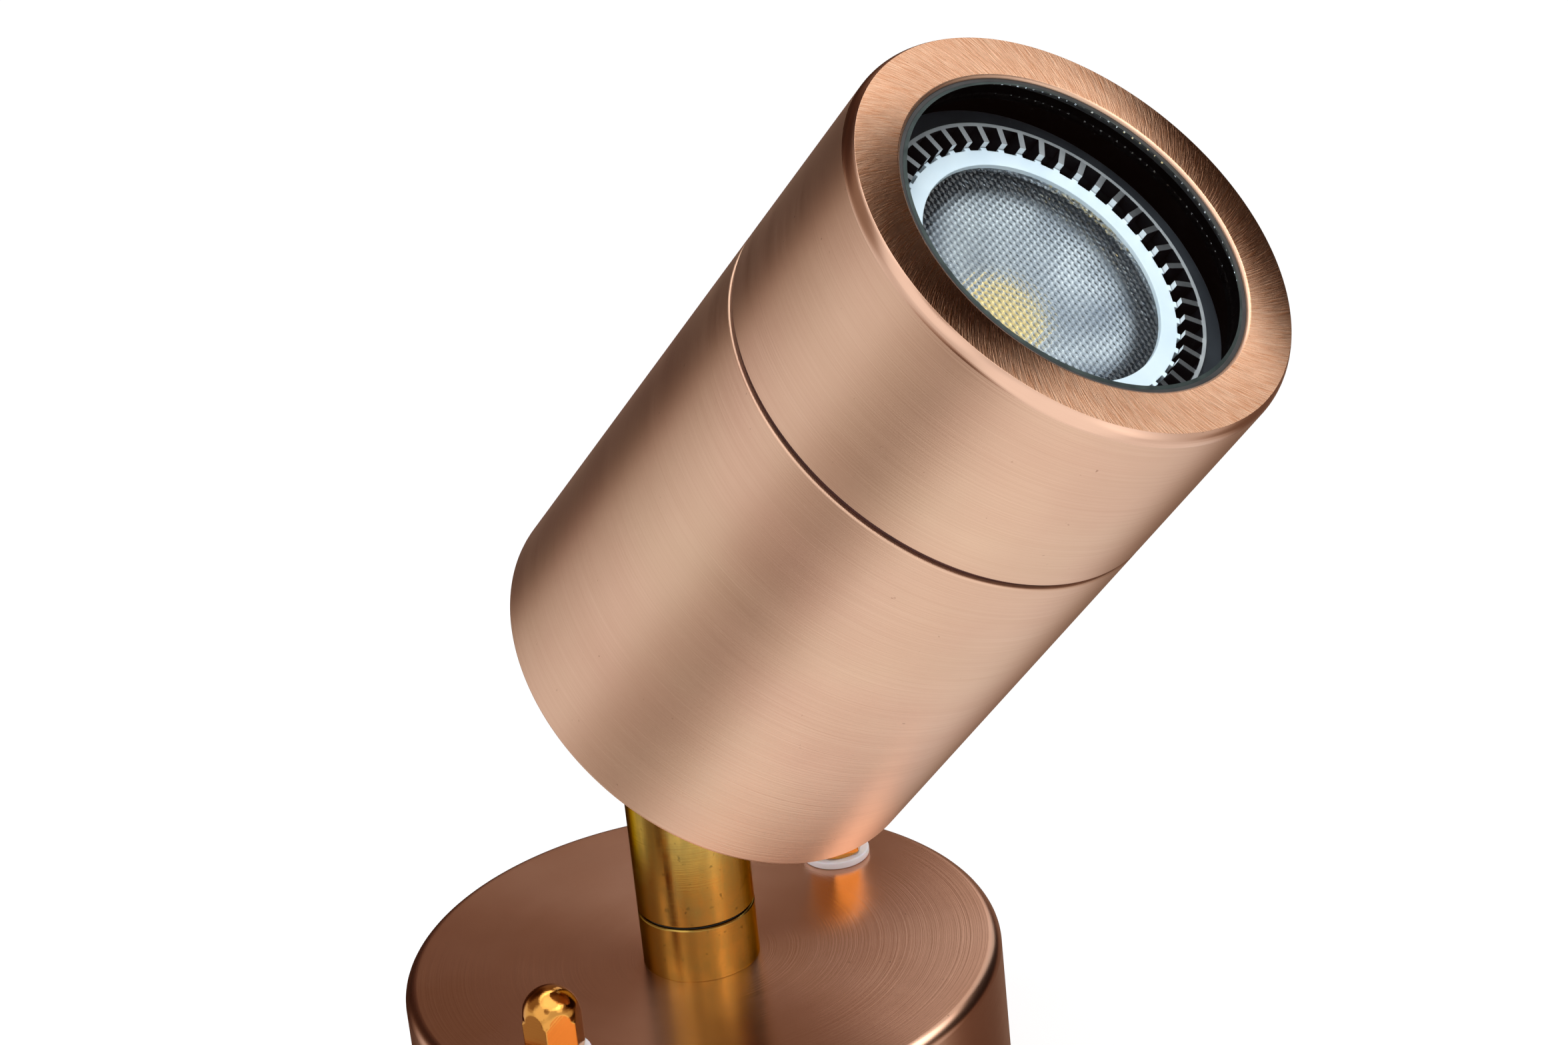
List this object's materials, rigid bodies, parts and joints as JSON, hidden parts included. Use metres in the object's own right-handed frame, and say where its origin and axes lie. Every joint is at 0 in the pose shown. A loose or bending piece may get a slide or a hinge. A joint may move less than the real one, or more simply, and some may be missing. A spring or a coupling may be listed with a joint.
{
  "type": "outdoor wall spotlight",
  "caption": "Adjustable outdoor wall spotlight: cylindrical copper head on a brass knuckle that swivels and tilts on a round copper canopy.",
  "frame": {"origin": "centre of the canopy in the plane of its open back, which sits on the wall", "axes": "+Z out of the wall along the swivel axis, +X the side that the head leans to, +Y along the line of the two dome nuts, to 4 degrees"},
  "size_m": [0.1473, 0.092, 0.1778],
  "materials": {
    "copper": "brushed copper, satin clear lacquer",
    "brass": "brass, machined, light patina",
    "polished_brass": "brass, polished",
    "nylon": "white nylon",
    "zinc_steel": "zinc plated",
    "black_rubber": "black silicone or nitrile",
    "foam": "closed-cell foam",
    "block_plastic": "off-white moulded plastic",
    "lead_sleeve": "silicone insulation",
    "black_anodised": "matt black",
    "grey_rubber": "dark grey silicone",
    "toughened_glass": "clear, faint green edge",
    "cast_aluminium": "bare, bead blasted",
    "white_plastic": "bluish white",
    "lens_plastic": "clear acrylic, prism pattern",
    "reflector_plastic": "metallised",
    "board": "white solder mask on aluminium",
    "phosphor": "yellow phosphor gel",
    "ceramic": "steatite ceramic",
    "black_steel": "black oxide"
  },
  "bodies": {
    "base": {"canopy": "copper", "canopy_gasket": "foam", "mounting_plate": "zinc_steel", "mounting_studs": "zinc_steel", "nylon_washers": "nylon", "dome_nuts": "polished_brass", "terminal_block": "block_plastic", "terminal_screws": "zinc_steel", "block_screws": "zinc_steel", "earth_lug": "zinc_steel", "earth_screw": "brass", "earth_lead": "lead_sleeve", "base_leads": "lead_sleeve", "knuckle_collar": "brass", "collar_oring": "black_rubber", "collar_washer": "zinc_steel", "collar_locknut": "brass", "swivel_seal": "black_rubber"},
    "post": {"knuckle_post": "brass", "pan_grub_screw": "black_steel", "post_leads": "lead_sleeve"},
    "head": {"knuckle_arm": "brass", "arm_oring": "black_rubber", "arm_washer": "zinc_steel", "arm_locknut": "brass", "pivot_screw": "zinc_steel", "spring_washer": "zinc_steel", "pivot_oring": "black_rubber", "head_leads": "lead_sleeve", "rear_housing": "copper", "groove_seal": "black_rubber", "front_cap": "copper", "front_gasket": "black_rubber", "front_glass": "toughened_glass", "rear_gasket": "black_rubber", "black_sleeve": "black_anodised", "lamp_cushion": "grey_rubber", "lamp_heatsink": "cast_aluminium", "lamp_front_ring": "white_plastic", "lamp_lens": "lens_plastic", "lamp_reflector": "reflector_plastic", "led_board": "board", "led_chip": "phosphor", "lamp_base": "white_plastic", "lamp_pins": "zinc_steel", "lampholder": "ceramic", "holder_bracket": "zinc_steel", "holder_screws": "zinc_steel"}
  },
  "joints": [
    {"name": "head_swivel", "type": "hinge", "parent": "base", "child": "post", "pos_m": [0, 0, 0.037], "axis": [0, 0, 1], "range_deg": [-170, 170]},
    {"name": "head_tilt", "type": "hinge", "parent": "post", "child": "head", "pos_m": [0, 0, 0.0679], "axis": [0, 1, 0], "range_deg": [-110.8, 29.2]}
  ]
}
